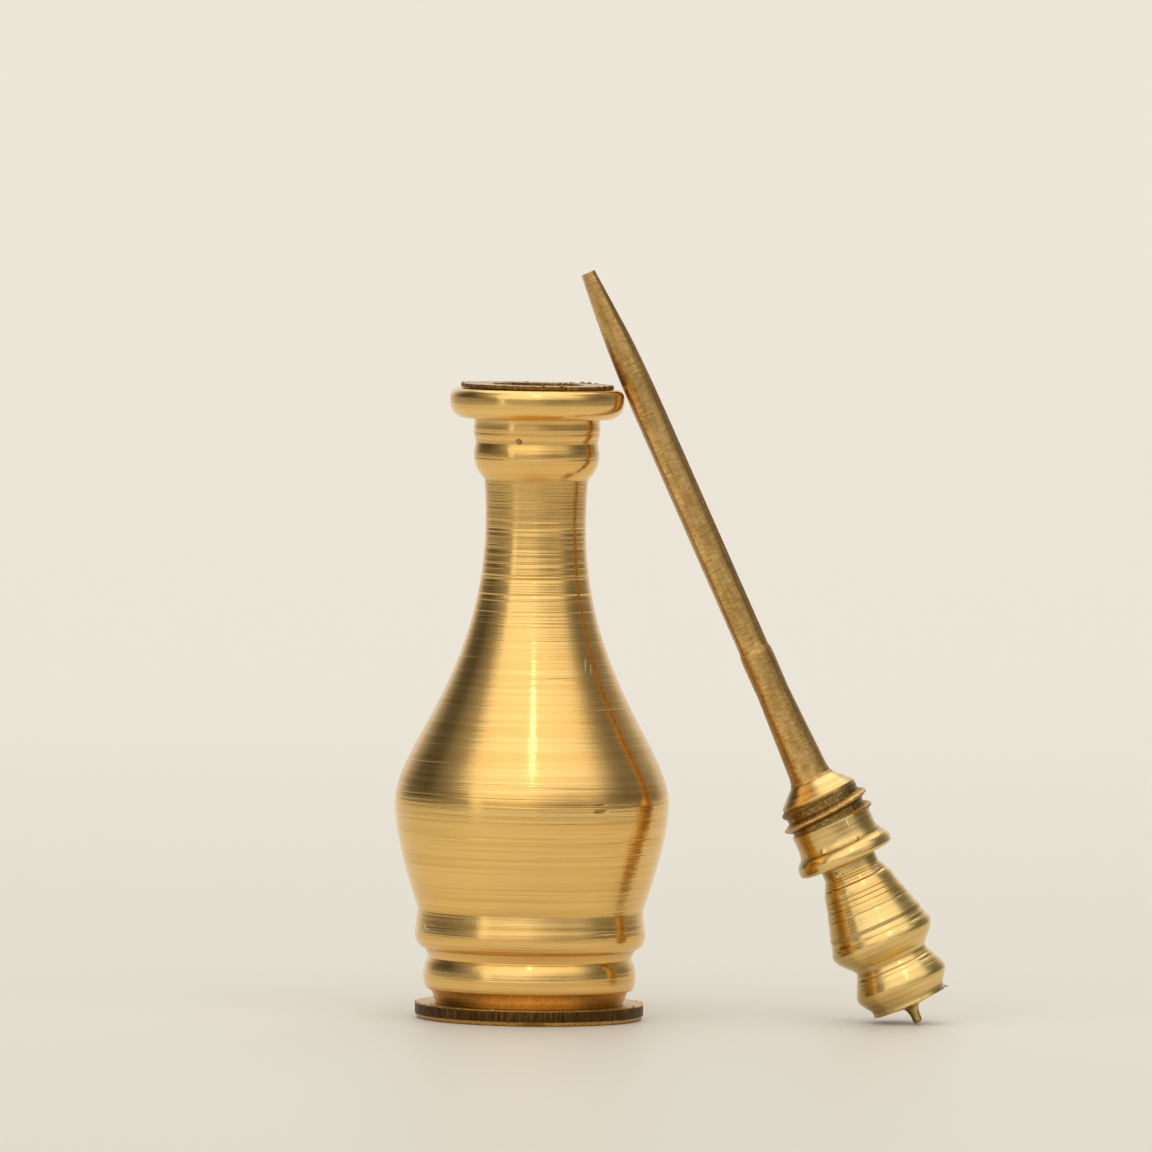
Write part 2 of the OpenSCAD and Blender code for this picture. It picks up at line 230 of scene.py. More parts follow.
def eased(points, size, sharpest=14.0):
    """Rounds each corner of an outline a little, as a tool or a cloth leaves it."""
    made = [points[0]]
    for before, here, after in zip(points, points[1:], points[2:]):
        a = Vector((here[0] - before[0], here[1] - before[1]))
        b = Vector((after[0] - here[0], after[1] - here[1]))
        if a.length < 1e-6 or b.length < 1e-6 or math.degrees(a.angle(b)) < sharpest:
            made.append(here)
            continue
        p = Vector(here) - a.normalized() * min(size, 0.4 * a.length)
        q = Vector(here) + b.normalized() * min(size, 0.4 * b.length)
        for t in (0.0, 0.3, 0.5, 0.7, 1.0):
            s = 1 - t
            x = s * s * p.x + 2 * s * t * here[0] + t * t * q.x
            z = s * s * p.y + 2 * s * t * here[1] + t * t * q.y
            made.append((x, z))
    made.append(points[-1])
    return made


def filled(points, gap):
    """Adds points on long straight stretches, so that no two are further apart than gap."""
    made = [points[0]]
    for a, b in zip(points, points[1:]):
        steps = max(1, math.ceil(math.dist(a, b) / gap))
        for i in range(1, steps + 1):
            made.append((a[0] + (b[0] - a[0]) * i / steps, a[1] + (b[1] - a[1]) * i / steps))
    return made


def body_outside():
    """The bottle from its disc up over foot bead, band, belly, neck, collar and rim."""
    bead_h = WAIST_Z - BEAD_Z
    bead_foot = (BEAD_R - 0.33, BEAD_Z)
    waist = (WAIST_R, WAIST_Z)
    band_foot = (BAND_FOOT_R, BAND_Z)
    band_full = (BAND_R, BAND_Z + 1.5)
    band_top = (BAND_TOP_R, BAND_TOP_Z)
    belly = (BELLY_R, BELLY_Z)
    belly_h = BELLY_Z - BAND_TOP_Z
    neck = (NECK_R, NECK_Z)
    shoulder_h = NECK_Z - BELLY_Z
    neck_top = (NECK_TOP_R, NECK_TOP_Z)
    neck_h = NECK_TOP_Z - NECK_Z
    groove = (COLLAR_GROOVE_R, COLLAR_GROOVE_Z)
    bead_top_h = COLLAR_GROOVE_Z - NECK_TOP_Z
    outline = [(GROOVE_R, BASE_T), (GROOVE_TOP_R, BEAD_Z), bead_foot]
    outline += curve(bead_foot, (BEAD_R + 0.09, BEAD_Z + 0.15 * bead_h),
                     (BEAD_R + 0.19, BEAD_Z + 0.74 * bead_h), waist, 14)
    outline.append(band_foot)
    outline += curve(band_foot, (BAND_R - 0.5, BAND_Z + 0.08), (BAND_R, BAND_Z + 0.6), band_full, 8)
    outline.append(band_top)
    outline += curve(band_top, (BELLY_R - 0.776, BAND_TOP_Z + 0.443 * belly_h),
                     (BELLY_R, BELLY_Z - 0.224 * belly_h), belly, 26)
    outline += curve(belly, (BELLY_R, BELLY_Z + 0.191 * shoulder_h),
                     (NECK_R, BELLY_Z + 0.446 * shoulder_h), neck, 64)
    outline += curve(neck, (NECK_R, NECK_Z + 0.5 * neck_h),
                     (NECK_TOP_R - 0.06, NECK_Z + 0.8 * neck_h), neck_top, 8)
    outline += curve(neck_top, (NECK_TOP_R + 0.98, NECK_TOP_Z + 0.31 * bead_top_h),
                     (COLLAR_BEAD_R + 0.27, NECK_TOP_Z + 0.57 * bead_top_h), groove, 16)
    outline += [(COLLAR_R + 0.03, COLLAR_LIP_Z), (COLLAR_R - 0.08, COLLAR_DIP_Z),
                (COLLAR_R - 0.05, RIM_Z)]
    outline += arc(RIM_R - RIM_LOW_R, RIM_Z + RIM_LOW_R, RIM_LOW_R, -90, 0, 12)
    outline += arc(RIM_R - RIM_EDGE_R, RIM_TOP_Z - RIM_EDGE_R, RIM_EDGE_R, 0, 90, 8)
    return outline


def body_inside():
    """The bottle's hollow from the mouth down through socket, seat, bore and reservoir."""
    return [
        (THREAD_ROOT_R + 0.25, RIM_TOP_Z),
        (THREAD_ROOT_R, RIM_TOP_Z - 0.25),
        (THREAD_ROOT_R, SOCKET_Z),
        (NECK_BORE_R, SEAT_END_Z),
        (NECK_BORE_R, RESERVOIR_TOP_Z),
        (RESERVOIR_R, RESERVOIR_Z),
        (RESERVOIR_R, BASE_T),
        (GROOVE_R, BASE_T),
    ]


def stopper_outline():
    """The stopper from its nib up over end disc, bulb, bell, flange and shank to its nose."""
    nib_h = NIB_STRAIGHT_LOW - NIB_ROOT_LOW
    bulb_h = CREASE_LOW - FINIAL_WAIST_LOW
    undercut_h = FINIAL_WAIST_LOW - BELL_LOW
    outline = [(0, -NIB_LOW), (NIB_TIP_R, -NIB_LOW), (NIB_R, 0.2 - NIB_LOW),
               (NIB_R, -NIB_STRAIGHT_LOW)]
    outline += curve(outline[-1], (NIB_R + 0.05, 0.3 * nib_h - NIB_STRAIGHT_LOW),
                     (NIB_R + 0.12, 0.9 * nib_h - NIB_STRAIGHT_LOW),
                     (NIB_R + 0.45, -NIB_ROOT_LOW), 6)
    outline += [(END_R, -END_LOW), (END_R - 0.08, -END_LOW + 0.3), (END_R, -CREASE_LOW)]
    outline += curve(outline[-1], (BULB_R + 0.32, 0.45 * bulb_h - CREASE_LOW),
                     (BULB_R + 0.29, 0.27 * bulb_h - CREASE_LOW),
                     (FINIAL_WAIST_R, -FINIAL_WAIST_LOW), 20)
    outline += curve(outline[-1], (FINIAL_WAIST_R, 0.23 * undercut_h - FINIAL_WAIST_LOW),
                     (BELL_R + 0.03, 0.6 * undercut_h - FINIAL_WAIST_LOW), (BELL_R, -BELL_LOW), 14)
    outline += [(BELL_R - 0.05, 0.25 - BELL_LOW), (BELL_R - 0.24, 0.6 - BELL_LOW)]
    outline += BELL_SIDE
    outline += [(FINIAL_NECK_R + 0.02, -FLANGE_T - 1.05), (FINIAL_NECK_R, -FLANGE_T - 0.25),
                (FINIAL_NECK_R + 0.3, -FLANGE_T)]
    outline += arc(FLANGE_R - 0.4, 0.4 - FLANGE_T, 0.4, -90, 0, 6)
    outline.append((FLANGE_R, -FLANGE_EASE))
    outline += curve(outline[-1], (FLANGE_R, -0.58 * FLANGE_EASE),
                     (FLANGE_R - 0.36, -0.13 * FLANGE_EASE), (SHANK_R + 0.2, 0), 10)
    outline += [(SHANK_R + 0.17, 0.12), (SHANK_R + 0.07, 0.4), (SHANK_R, 0.8)]
    outline += [(SHANK_R, SHANK_L - 0.1), (CORE_R, SHANK_L + 0.1), (CORE_R, THREAD_TOP)]
    outline += [(NOSE_R, NOSE_TOP), (0, NOSE_TOP)]
    return outline


def scored(points, cuts, half=0.07):
    """Sinks thin grooves into an outline that climbs, one at each height given."""
    made = list(points)
    for height, depth in cuts:
        made = [p for p in made if abs(p[1] - height) > half * 1.2 or p[0] < 1]
        for i, (a, b) in enumerate(zip(made, made[1:])):
            if a[1] < height < b[1]:
                slope = (b[0] - a[0]) / (b[1] - a[1])
                middle = a[0] + slope * (height - a[1])
                made[i + 1:i + 1] = [(middle - slope * half, height - half),
                                     (middle - depth, height - 0.2 * half),
                                     (middle + slope * half, height + half)]
                break
    return made


# Hand work: how a piece is started, turned, cut and finished

def put_down():
    """Nothing selected and nothing open, before the next piece is started."""
    if bpy.context.object and bpy.context.object.mode != "OBJECT":
        bpy.ops.object.mode_set(mode="OBJECT")
    bpy.ops.object.select_all(action="DESELECT")


def start_point(name, x, z):
    """A tiny plane, closed up to one corner at the start of an outline, left open for editing."""
    put_down()
    bpy.ops.mesh.primitive_plane_add(size=MM, location=(x * MM, 0, z * MM))
    piece = bpy.context.object
    piece.name = name
    piece.data.name = name
    bpy.ops.object.transform_apply(location=True, rotation=True, scale=True)
    bpy.ops.object.mode_set(mode="EDIT")
    bpy.ops.mesh.select_all(action="SELECT")
    bpy.ops.mesh.merge(type="CENTER")
    return piece


def draw(name, outline):
    """An outline drawn corner by corner in the plane of X and Z."""
    piece = start_point(name, *outline[0])
    for a, b in zip(outline, outline[1:]):
        step = ((b[0] - a[0]) * MM, 0, (b[1] - a[1]) * MM)
        bpy.ops.mesh.extrude_vertices_move(TRANSFORM_OT_translate={"value": step})
    return piece


def close_up(piece, smooth):
    """Merges what meets, turns all faces outwards and sets which edges stay crisp."""
    bpy.ops.mesh.select_all(action="SELECT")
    bpy.ops.mesh.remove_doubles(threshold=2e-7)
    bpy.ops.mesh.normals_make_consistent(inside=False)
    bpy.ops.object.mode_set(mode="OBJECT")
    bpy.ops.object.shade_smooth_by_angle(angle=math.radians(smooth))
    return piece


def turned(name, outline, steps=TURNS, smooth=28):
    """A piece turned on a lathe: its outline drawn and spun once round Z."""
    piece = draw(name, outline)
    bpy.ops.mesh.select_all(action="SELECT")
    bpy.ops.mesh.spin(steps=steps, angle=math.tau, center=(0, 0, 0), axis=(0, 0, 1))
    return close_up(piece, smooth)


def settled(piece, tilt, place):
    """Tilts a finished piece round Y and moves it to its place, and leaves its object unturned."""
    put_down()
    bpy.context.view_layer.objects.active = piece
    piece.select_set(True)
    piece.rotation_euler = (0, tilt, 0)
    piece.location = place
    bpy.ops.object.transform_apply(location=True, rotation=True, scale=True)
    return piece


def around(vertex):
    """Radius, angle and height of a corner, in millimetres and radians."""
    x, y, z = vertex.co
    return math.hypot(x, y) / MM, math.atan2(y, x) % math.tau, z / MM


def waves(seed, lowest, highest, count):
    """An uneven edge as a sum of waves round the piece, between about -1 and 1."""
    rng = random.Random(seed)
    parts = [(rng.randint(lowest, highest), rng.uniform(0, math.tau), rng.uniform(0.4, 1.0))
             for _ in range(count)]
    total = sum(p[2] for p in parts)

    def height(angle):
        return 1.8 * sum(p[2] * math.sin(p[0] * angle + p[1]) for p in parts) / total
    return height


def move_ring(piece, radius, height, reach, shift):
    """Moves the corners near one turned edge: shift gives how far out and up at an angle."""
    for vertex in piece.data.vertices:
        r, angle, z = around(vertex)
        if abs(r - radius) > reach or abs(z - height) > reach:
            continue
        out, up = shift(angle)
        vertex.co.x += out * MM * math.cos(angle)
        vertex.co.y += out * MM * math.sin(angle)
        vertex.co.z += up * MM


def helix(name, profile, low, high, start=0.0):
    """A ridge of the given profile wound right-handed round Z from one height to another, starting
    at an angle in degrees."""
    turns = (high - low) / PITCH
    piece = draw(name, [(x, z + low) for x, z in profile])
    bpy.ops.object.mode_set(mode="OBJECT")
    screw = piece.modifiers.new("wind", "SCREW")
    screw.axis = "Z"
    screw.angle = math.tau * turns
    screw.screw_offset = (high - low) * MM
    screw.steps = round(turns * THREAD_TURNS)
    screw.render_steps = screw.steps
    screw.use_merge_vertices = False
    bpy.ops.object.modifier_apply(modifier="wind")
    piece.rotation_euler = (0, 0, math.radians(start))
    bpy.ops.object.transform_apply(location=True, rotation=True, scale=True)
    return piece


# Colours, nodes and finishes

def linear(code):
    """A hex colour as it is seen, turned to the linear values that a shader takes."""
    values = [int(code[i:i + 2], 16) / 255 for i in (1, 3, 5)]
    return tuple(v / 12.92 if v <= 0.04045 else ((v + 0.055) / 1.055) ** 2.4 for v in values) + (1.0,)


def lay_stops(ramp, way, stops):
    """Sets the stops of a colour ramp, each at a place between 0 and 1: a hex code or a value."""
    ramp.interpolation = way
    while len(ramp.elements) < len(stops):
        ramp.elements.new(0.5)
    for element, (place, colour) in zip(ramp.elements, stops):
        element.position = place
        element.color = linear(colour) if isinstance(colour, str) else (colour, colour, colour, 1)


def add(tree, kind, settings=(), links=(), out=0):
    """Adds a node, sets its own settings, its socket values and its colour stops, links sockets to
    it, and gives one of its outputs."""
    made = tree.nodes.new("ShaderNode" + kind)
    for key, value in dict(settings).items():
        if key == "stops":
            lay_stops(made.color_ramp, *value)
        elif isinstance(key, int) or key in made.inputs:
            made.inputs[key].default_value = value
        else:
            setattr(made, key, value)
    for key, source in dict(links).items():
        tree.links.new(source, made.inputs[key])
    return made.outputs[out] if len(made.outputs) else made


def new_finish(name):
    """A new material with nothing in it yet, and its node tree."""
    material = bpy.data.materials.new(name)
    material.use_nodes = True
    material.node_tree.nodes.clear()
    return material, material.node_tree


def surface(tree, settings, links):
    """The shader that a finish ends in: its constants, and what varies over the piece."""
    shader = add(tree, "BsdfPrincipled", settings, links)
    add(tree, "OutputMaterial", links={"Surface": shader})


def own_axes(tree, upright):
    """Coordinates in the piece's own frame, in millimetres, with the turning axis on Z."""
    settings = {"vector_type": "TEXTURE", "Scale": (MM, MM, MM)}
    if not upright:
        settings["Location"] = SEAT
        settings["Rotation"] = (0, -LEAN, 0)
    return add(tree, "Mapping", settings, {"Vector": add(tree, "TexCoord", out="Object")})


def height_and_radius(tree, own):
    """Height along the turning axis, distance from it and place across it, in millimetres."""
    parts = add(tree, "SeparateXYZ", links={0: own}).node.outputs
    flat = add(tree, "CombineXYZ", links={0: parts[0], 1: parts[1]})
    radius = add(tree, "VectorMath", {"operation": "LENGTH"}, {0: flat}, "Value")
    return parts[2], radius, flat


def spread(tree, source, stops):
    """Values or colours set out at places along a length, an angle or a noise."""
    low = stops[0][0]
    high = stops[-1][0]
    share = add(tree, "MapRange", {1: low, 2: high}, {0: source})
    shares = [((place - low) / (high - low), value) for place, value in stops]
    return add(tree, "ValToRGB", {"stops": ("LINEAR", shares)}, {0: share})


def painted(tree, tone, coats):
    """Lays coats over a tone, one after another: the share that shows of each, and its colour,
    a hex code or a socket."""
    for share, colour in coats:
        settings = {"data_type": "RGBA"}
        links = {0: share, 6: tone}
        if isinstance(colour, str):
            settings[7] = linear(colour)
        else:
            links[7] = colour
        tone = add(tree, "Mix", settings, links, 2)
    return tone


def carved(tree, layers):
    """Relief in layers, one over another: the height pattern of each and its depth in millimetres,
    below zero where it is sunk, and for some the share of that depth at each place."""
    relief = None
    for height, depth, *share in layers:
        settings = {"Strength": 1.0, "Distance": abs(depth) * MM, "invert": depth < 0}
        links = {"Height": height}
        if share:
            links["Distance"] = add(tree, "Math", {"operation": "MULTIPLY", 1: abs(depth) * MM},
                                    {0: share[0]})
        if relief is not None:
            links["Normal"] = relief
        relief = add(tree, "Bump", settings, links)
    return relief


def grains(tree, own, to_the_mm, detail, rough=0.5, turned_by=(0, 0, 0)):
    """Noise with so many lumps to the millimetre along each of the piece's own axes."""
    where = add(tree, "Mapping", {"Scale": to_the_mm, "Rotation": turned_by}, {"Vector": own})
    return add(tree, "TexNoise", {"Scale": 1.0, "Detail": detail, "Roughness": rough},
               {"Vector": where})


def tool_lines(tree, own, spacing, seed, round_scale, detail, rough=0.5):
    """Noise drawn out round the axis: lines one spacing apart on the sides, and further apart on
    flat faces, where the tool went inwards."""
    height, radius, flat = height_and_radius(tree, own)
    along = add(tree, "Math", {"operation": "MULTIPLY_ADD", 1: FACE_SHARE}, {0: radius, 2: height})
    lines = add(tree, "Math", {"operation": "MULTIPLY_ADD", 1: 1 / spacing, 2: seed}, {0: along})
    side = add(tree, "VectorMath", {"operation": "SCALE", "Scale": round_scale}, {0: flat})
    parts = add(tree, "SeparateXYZ", links={0: side}).node.outputs
    where = add(tree, "CombineXYZ", links={0: parts[0], 1: parts[1], 2: lines})
    return add(tree, "TexNoise", {"Scale": 1.0, "Detail": detail, "Roughness": rough},
               {"Vector": where})


def spots(tree, own, places):
    """One mask of small spots in the piece's own frame, each a place and a size: 1 in the middle
    of each, 0 outside it."""
    mask = None
    for place, size in places:
        away = add(tree, "VectorMath", {"operation": "SUBTRACT", 1: place}, {0: own})
        scaled = add(tree, "VectorMath", {"operation": "DIVIDE", 1: size}, {0: away})
        far = add(tree, "VectorMath", {"operation": "LENGTH"}, {0: scaled}, "Value")
        spot = add(tree, "MapRange", {1: 0.55, 2: 1.0, 3: 1.0, 4: 0.0}, {0: far})
        if mask is None:
            mask = spot
        else:
            mask = add(tree, "Math", {"operation": "MAXIMUM"}, {0: mask, 1: spot})
    return mask


def grooves_round(tree, upright):
    """The direction of the tool marks round the axis, for the stretch of the highlights."""
    centred = add(tree, "TexCoord", out="Object")
    axis = (0, 0, 1)
    if not upright:
        centred = add(tree, "VectorMath", {"operation": "SUBTRACT", 1: SEAT}, {0: centred})
        axis = tuple(AXIS)
    across = add(tree, "VectorMath", {"operation": "CROSS_PRODUCT", 0: axis}, {1: centred})
    return add(tree, "VectorMath", {"operation": "NORMALIZE"}, {0: across})


def turned_brass(name, upright, tones, spacing, rough, depths, grime_and_shade, dents, rubs, side_shade=()):
    """Brass cut on a lathe: bright and warm, with fine tool lines round the axis that draw each
    highlight out across themselves. The lines are deep where the tool chattered and faint where
    it ran smoothly. Grime and painted shade darken the corners and grooves, painted shade may
    darken one side, the small dents are darkened with painted shade as well as sunk, and rubbed
    spots show its wear."""
    material, tree = new_finish(name)
    own = own_axes(tree, upright)
    height, radius, _ = height_and_radius(tree, own)
    depth = spread(tree, height, depths)
    fine = tool_lines(tree, own, spacing, 3.1, 0.02, 2.0, 0.6)
    streaks = tool_lines(tree, own, STREAK_SHARE * spacing, 17.7, 0.03, 3.0, 0.6)
    rare = tool_lines(tree, own, STREAK_SHARE * spacing, 41.3, 0.03, 1.0)
    cuts = spread(tree, rare, [(0.0, 1.0), (0.30, 1.0), (0.36, 0.0), (1.0, 0.0)])
    swell = tool_lines(tree, own, SWELL_SPACING, 7.7, 0.01, 1.0)
    grain = grains(tree, own, (3.6, 3.6, 3.6), 2.0)
    dent = spots(tree, own, dents)
    rub = spots(tree, own, rubs)

    bright = add(tree, "ValToRGB", {"stops": ("EASE", [(0.3, 0.0), (0.7, 1.0)])}, {0: streaks})
    light, dark = tones
    tone = add(tree, "Mix", {"data_type": "RGBA", 6: linear(dark), 7: linear(light)}, {0: bright}, 2)
    patchy = add(tree, "ValToRGB", {"stops": ("EASE", [(0.2, 0.55), (0.6, 1.0)])}, {0: grain})
    # Grime and painted shade: a dark brown laid by height into the corners and grooves
    dirt_and_shade = add(tree, "Math", {"operation": "MULTIPLY"}, {0: spread(tree, height, grime_and_shade), 1: patchy})
    tone = painted(tree, tone, [(dirt_and_shade, "#5f3f12")])
    # Painted shade: one side of the piece darkened, set out across it from left to right
    if side_shade:
        across = add(tree, "SeparateXYZ", links={0: own})
        sideways = add(tree, "Math", {"operation": "DIVIDE"}, {0: across, 1: radius})
        tone = painted(tree, tone, [(spread(tree, sideways, side_shade), "#7d5a1e")])
    # Painted shade: the dents are darkened as well as sunk
    shaded = add(tree, "Math", {"operation": "MULTIPLY", 1: 0.6}, {0: dent})
    tone = painted(tree, tone, [(shaded, "#6b4a20"), (rub, "#fff0c4")])

    gloss = add(tree, "MapRange", {1: 0.3, 2: 0.7, 3: rough - 0.04, 4: rough + 0.05}, {0: streaks})
    dull = add(tree, "Math", {"operation": "MAXIMUM"}, {0: dirt_and_shade, 1: rub})
    gloss = add(tree, "Math", {"operation": "MULTIPLY_ADD", 1: 0.3}, {0: dull, 2: gloss})
    relief = carved(tree, [(swell, 0.016), (fine, 0.055, depth), (streaks, 0.035, depth),
                           (cuts, -0.03, depth), (grain, 0.006), (dent, -0.12)])
    surface(tree, {"Metallic": 1.0, "Anisotropic": 0.7, "Anisotropic Rotation": 0.25},
            {"Base Color": tone, "Roughness": gloss, "Normal": relief,
             "Tangent": grooves_round(tree, upright)})
    return material


def raw_brass(name, tones, edges, edges_z=(), red_patches=()):
    """Brass sheet as the punch left it: rubbed yellow faces, and sheared edges that are dark,
    grainy and streaked across, with paler metal on the burr. Edges and edges_z say where the
    sheared metal shows, by radius and by height."""
    material, tree = new_finish(name)
    own = own_axes(tree, True)
    height, radius, _ = height_and_radius(tree, own)
    strokes = grains(tree, own, (3.6, 3.6, 0.6), 4.0, 0.7)
    grain = grains(tree, own, (4.0, 4.0, 4.0), 3.0, 0.6)
    edge = spread(tree, radius, edges)
    if edges_z:
        edge = add(tree, "Math", {"operation": "MULTIPLY"},
                   {0: edge, 1: spread(tree, height, edges_z)})

    face = add(tree, "ValToRGB", {"stops": ("EASE", [(0.3, "#ad8040"), (0.7, "#dcae62")])},
               {0: grain})
    sheared = add(tree, "ValToRGB", {"stops": ("EASE", list(zip((0.3, 0.5, 0.66, 0.8), tones)))},
                  {0: strokes})
    tone = painted(tree, face, [(edge, sheared)])
    # A reddish-brown patch, laid low on the front of the disc's edge
    if red_patches:
        red_patch = add(tree, "Math", {"operation": "MULTIPLY"}, {0: spots(tree, own, red_patches), 1: grain})
        tone = painted(tree, tone, [(red_patch, "#7e2f10")])
    gloss = add(tree, "MapRange", {3: 0.3, 4: 0.5}, {0: edge})
    relief = carved(tree, [(strokes, 0.06, edge), (grain, 0.02)])
    surface(tree, {"Metallic": 1.0}, {"Base Color": tone, "Roughness": gloss, "Normal": relief})
    return material


def torn_brass_with_painted_shade(name):
    """Brass torn a little by the threading tool: rough and darkened with painted shade between the
    ridges, and brightened with a painted highlight on their crests."""
    material, tree = new_finish(name)
    own = own_axes(tree, False)
    radius = height_and_radius(tree, own)[1]
    grain = grains(tree, own, (3.2, 3.2, 3.2), 3.0, 0.6)
    painted_light_height = add(tree, "Math", {"operation": "MULTIPLY_ADD", 1: 0.5}, {0: grain, 2: radius})
    # Painted shade between the ridges and a painted highlight on their crests, by distance from the axis
    tone = spread(tree, painted_light_height, [(3.9, "#6e4e20"), (4.25, "#a47a38"), (4.5, "#dcb56c"), (4.8, "#f2d28e")])
    surface(tree, {"Metallic": 1.0, "Roughness": 0.36},
            {"Base Color": tone, "Normal": carved(tree, [(grain, 0.09)])})
    return material


def filed_brass(name, facet_shade):
    """Brass shaped with a file and never polished: facets along the stick, some darkened with painted
    shade and the lit one left bright, fine strokes across them, a few worn darker patches, and an
    even mottling that gives a soft sheen. The painted shade is set out from left to right across the
    stick."""
    material, tree = new_finish(name)
    own = own_axes(tree, False)
    strokes = grains(tree, own, (1.3, 1.3, 5.0), 3.0, 0.6, (0.25, 0.1, 0))
    patches = grains(tree, own, (1.1, 1.1, 0.4), 2.0)
    mottle = grains(tree, own, (4.2, 4.2, 4.2), 3.0, 0.65)
    streaks = grains(tree, own, (1.5, 1.5, 0.12), 3.0)

    tone = add(tree, "ValToRGB",
               {"stops": ("EASE", [(0.32, "#d0a45d"), (0.5, "#eac079"), (0.66, "#f7d995")])},
               {0: strokes})
    faint = add(tree, "Math", {"operation": "MULTIPLY", 1: 0.3}, {0: streaks})
    aged = spread(tree, patches, [(0.0, 0.0), (0.42, 0.0), (0.6, 0.3), (1.0, 0.35)])
    # Painted shade on the facets, set out from left to right, leaving the lit facet bright
    side = spread(tree, add(tree, "SeparateXYZ", links={0: own}), facet_shade)
    tone = painted(tree, tone, [(faint, "#a67c40"), (aged, "#876a30"), (side, "#7c5424")])
    gloss = add(tree, "MapRange", {1: 0.3, 2: 0.7, 3: 0.44, 4: 0.30}, {0: mottle})
    relief = carved(tree, [(streaks, 0.08), (strokes, 0.045), (mottle, 0.018)])
    surface(tree, {"Metallic": 1.0}, {"Base Color": tone, "Roughness": gloss, "Normal": relief})
    return material


def dress(piece, material, body, slot, *nodes):
    """Gives a finished piece its material and says what it rides on and stands for."""
    piece.data.materials.clear()
    piece.data.materials.append(material)
    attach(piece, body)
    if nodes:
        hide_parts(*nodes)
    return piece


# Pieces of the bottle

def make_body():
    """The turned bottle, hollow, with the tool's deeper cuts round it."""
    outside = scored(filled(eased(body_outside(), 0.07), 0.42), BODY_CUTS)
    return turned("turned_bottle", outside + filled(body_inside(), 3.0))


def make_mouth_thread():
    """The thread tapped in the mouth, its ridges standing in from the bore."""
    half = 0.5 * PITCH
    profile = [(THREAD_ROOT_R + 0.08, -half), (MOUTH_R + 0.02, -0.09), (MOUTH_R + 0.02, 0.09),
               (THREAD_ROOT_R + 0.08, half)]
    piece = helix("mouth_thread", profile, TAP_LOW, TAP_HIGH)
    run_out(piece, TAP_LOW, TAP_HIGH, THREAD_ROOT_R + 0.1, 0.3, 0.3)
    bpy.ops.object.mode_set(mode="EDIT")
    return close_up(piece, 40)


def run_out(piece, low, high, sunk, first, last, narrows=99.0):
    """Lets a wound ridge sink away over its first and last stretch of a turn, and follow a cone
    that narrows above a height."""
    turns = (high - low) / PITCH
    steps = len(piece.data.vertices) / RIDGE_CORNERS - 1
    for index, vertex in enumerate(piece.data.vertices):
        along = index // RIDGE_CORNERS / steps * turns
        full = min(1.0, along / first, (turns - along) / last)
        full = full * full * (3 - 2 * full)
        r, angle, z = around(vertex)
        wanted = sunk + (r - sunk) * full - max(0.0, z - narrows)
        vertex.co.x = wanted * MM * math.cos(angle)
        vertex.co.y = wanted * MM * math.sin(angle)


def make_disc():
    """The punched disc under the foot, rolled over below and burred above."""
    outline = [(0, 0), (BASE_R - 0.5, 0), (BASE_R - 0.25, 0.05), (BASE_R - 0.03, 0.4),
               (BASE_R, 0.5), (BASE_R, 1.3), (BASE_R - 0.02, BASE_T), (BASE_R - 0.1, BASE_T + 0.01),
               (BASE_R - 0.2, BASE_T - 0.03), (RECESS_R, BASE_T - 0.03), (RECESS_R, FLOOR_T),
               (0, FLOOR_T)]
    piece = turned("punched_disc", filled(outline, 0.9), EDGE_TURNS)
    edge = waves(5, 20, 90, 14)
    slow = waves(6, 2, 9, 5)

    def burr(angle):
        lump = max(0.0, edge(angle) + 0.35 * slow(angle) - 0.15)
        spike = max(0.0, 1 - abs((angle - math.radians(DISC_SPLINTER)) / 0.03))
        return 0.08 * lump + 0.16 * spike, 0.17 * lump + 0.1 * spike
    move_ring(piece, BASE_R - 0.04, BASE_T, 0.075, burr)
    return piece


def make_ring():
    """The thin washer on the rim, a little out of true, its edges ragged."""
    t = MOUTH_Z - RIM_TOP_Z
    outline = [(RING_HOLE_R, 0), (RING_R - 0.05, 0), (RING_R, 0.06), (RING_R, t - 0.05),
               (RING_R - 0.03, t), (RING_R - 0.12, t - 0.02), (RING_HOLE_R + 0.3, t - 0.02),
               (RING_HOLE_R + 0.1, t), (RING_HOLE_R, t - 0.04), (RING_HOLE_R, 0)]
    piece = turned("punched_ring", filled(outline, 0.7), EDGE_TURNS)
    edge = waves(8, 18, 80, 14)
    slow = waves(9, 2, 7, 4)

    def outer(angle):
        lump = max(0.0, edge(angle) + 0.5 * slow(angle) - 0.2)
        return 0.05 * lump, 0.14 * lump

    def inner(angle):
        lump = max(0.0, edge(angle + 1.1) + 0.5 * slow(angle + 2) - 0.1)
        return -0.06 * lump, 0.16 * lump
    move_ring(piece, RING_R - 0.03, t, 0.06, outer)
    move_ring(piece, RING_HOLE_R + 0.1, t, 0.06, inner)
    return settled(piece, math.radians(0.4), (0, 0, (RIM_TOP_Z + 0.05) * MM))


# Pieces of the stopper

def make_stopper():
    """The turned stopper, scraped along the flange's seat and torn a little at its end disc."""
    outline = scored(filled(eased(stopper_outline(), 0.05), 0.3), BELL_CUTS)
    piece = turned("turned_stopper", outline)
    edge = waves(12, 15, 60, 12)

    def end_burr(angle):
        lump = max(0.0, edge(angle))
        off = (angle - math.radians(END_SPLINTER) + math.pi) % math.tau - math.pi
        spike = max(0.0, 1 - abs(off / 0.12))
        return 0.05 * lump + 0.28 * spike, -0.06 * lump - 0.05 * spike
    move_ring(piece, END_R, -END_LOW + 0.04, 0.12, end_burr)
    scraps = waves(13, 9, 40, 12)

    def corner_burr(angle):
        lump = max(0.0, scraps(angle) - 0.25)
        return 0.22 * lump, 0.14 * lump
    move_ring(piece, SHANK_R + 0.15, 0.12, 0.1, corner_burr)
    return settled(piece, -LEAN, SEAT)


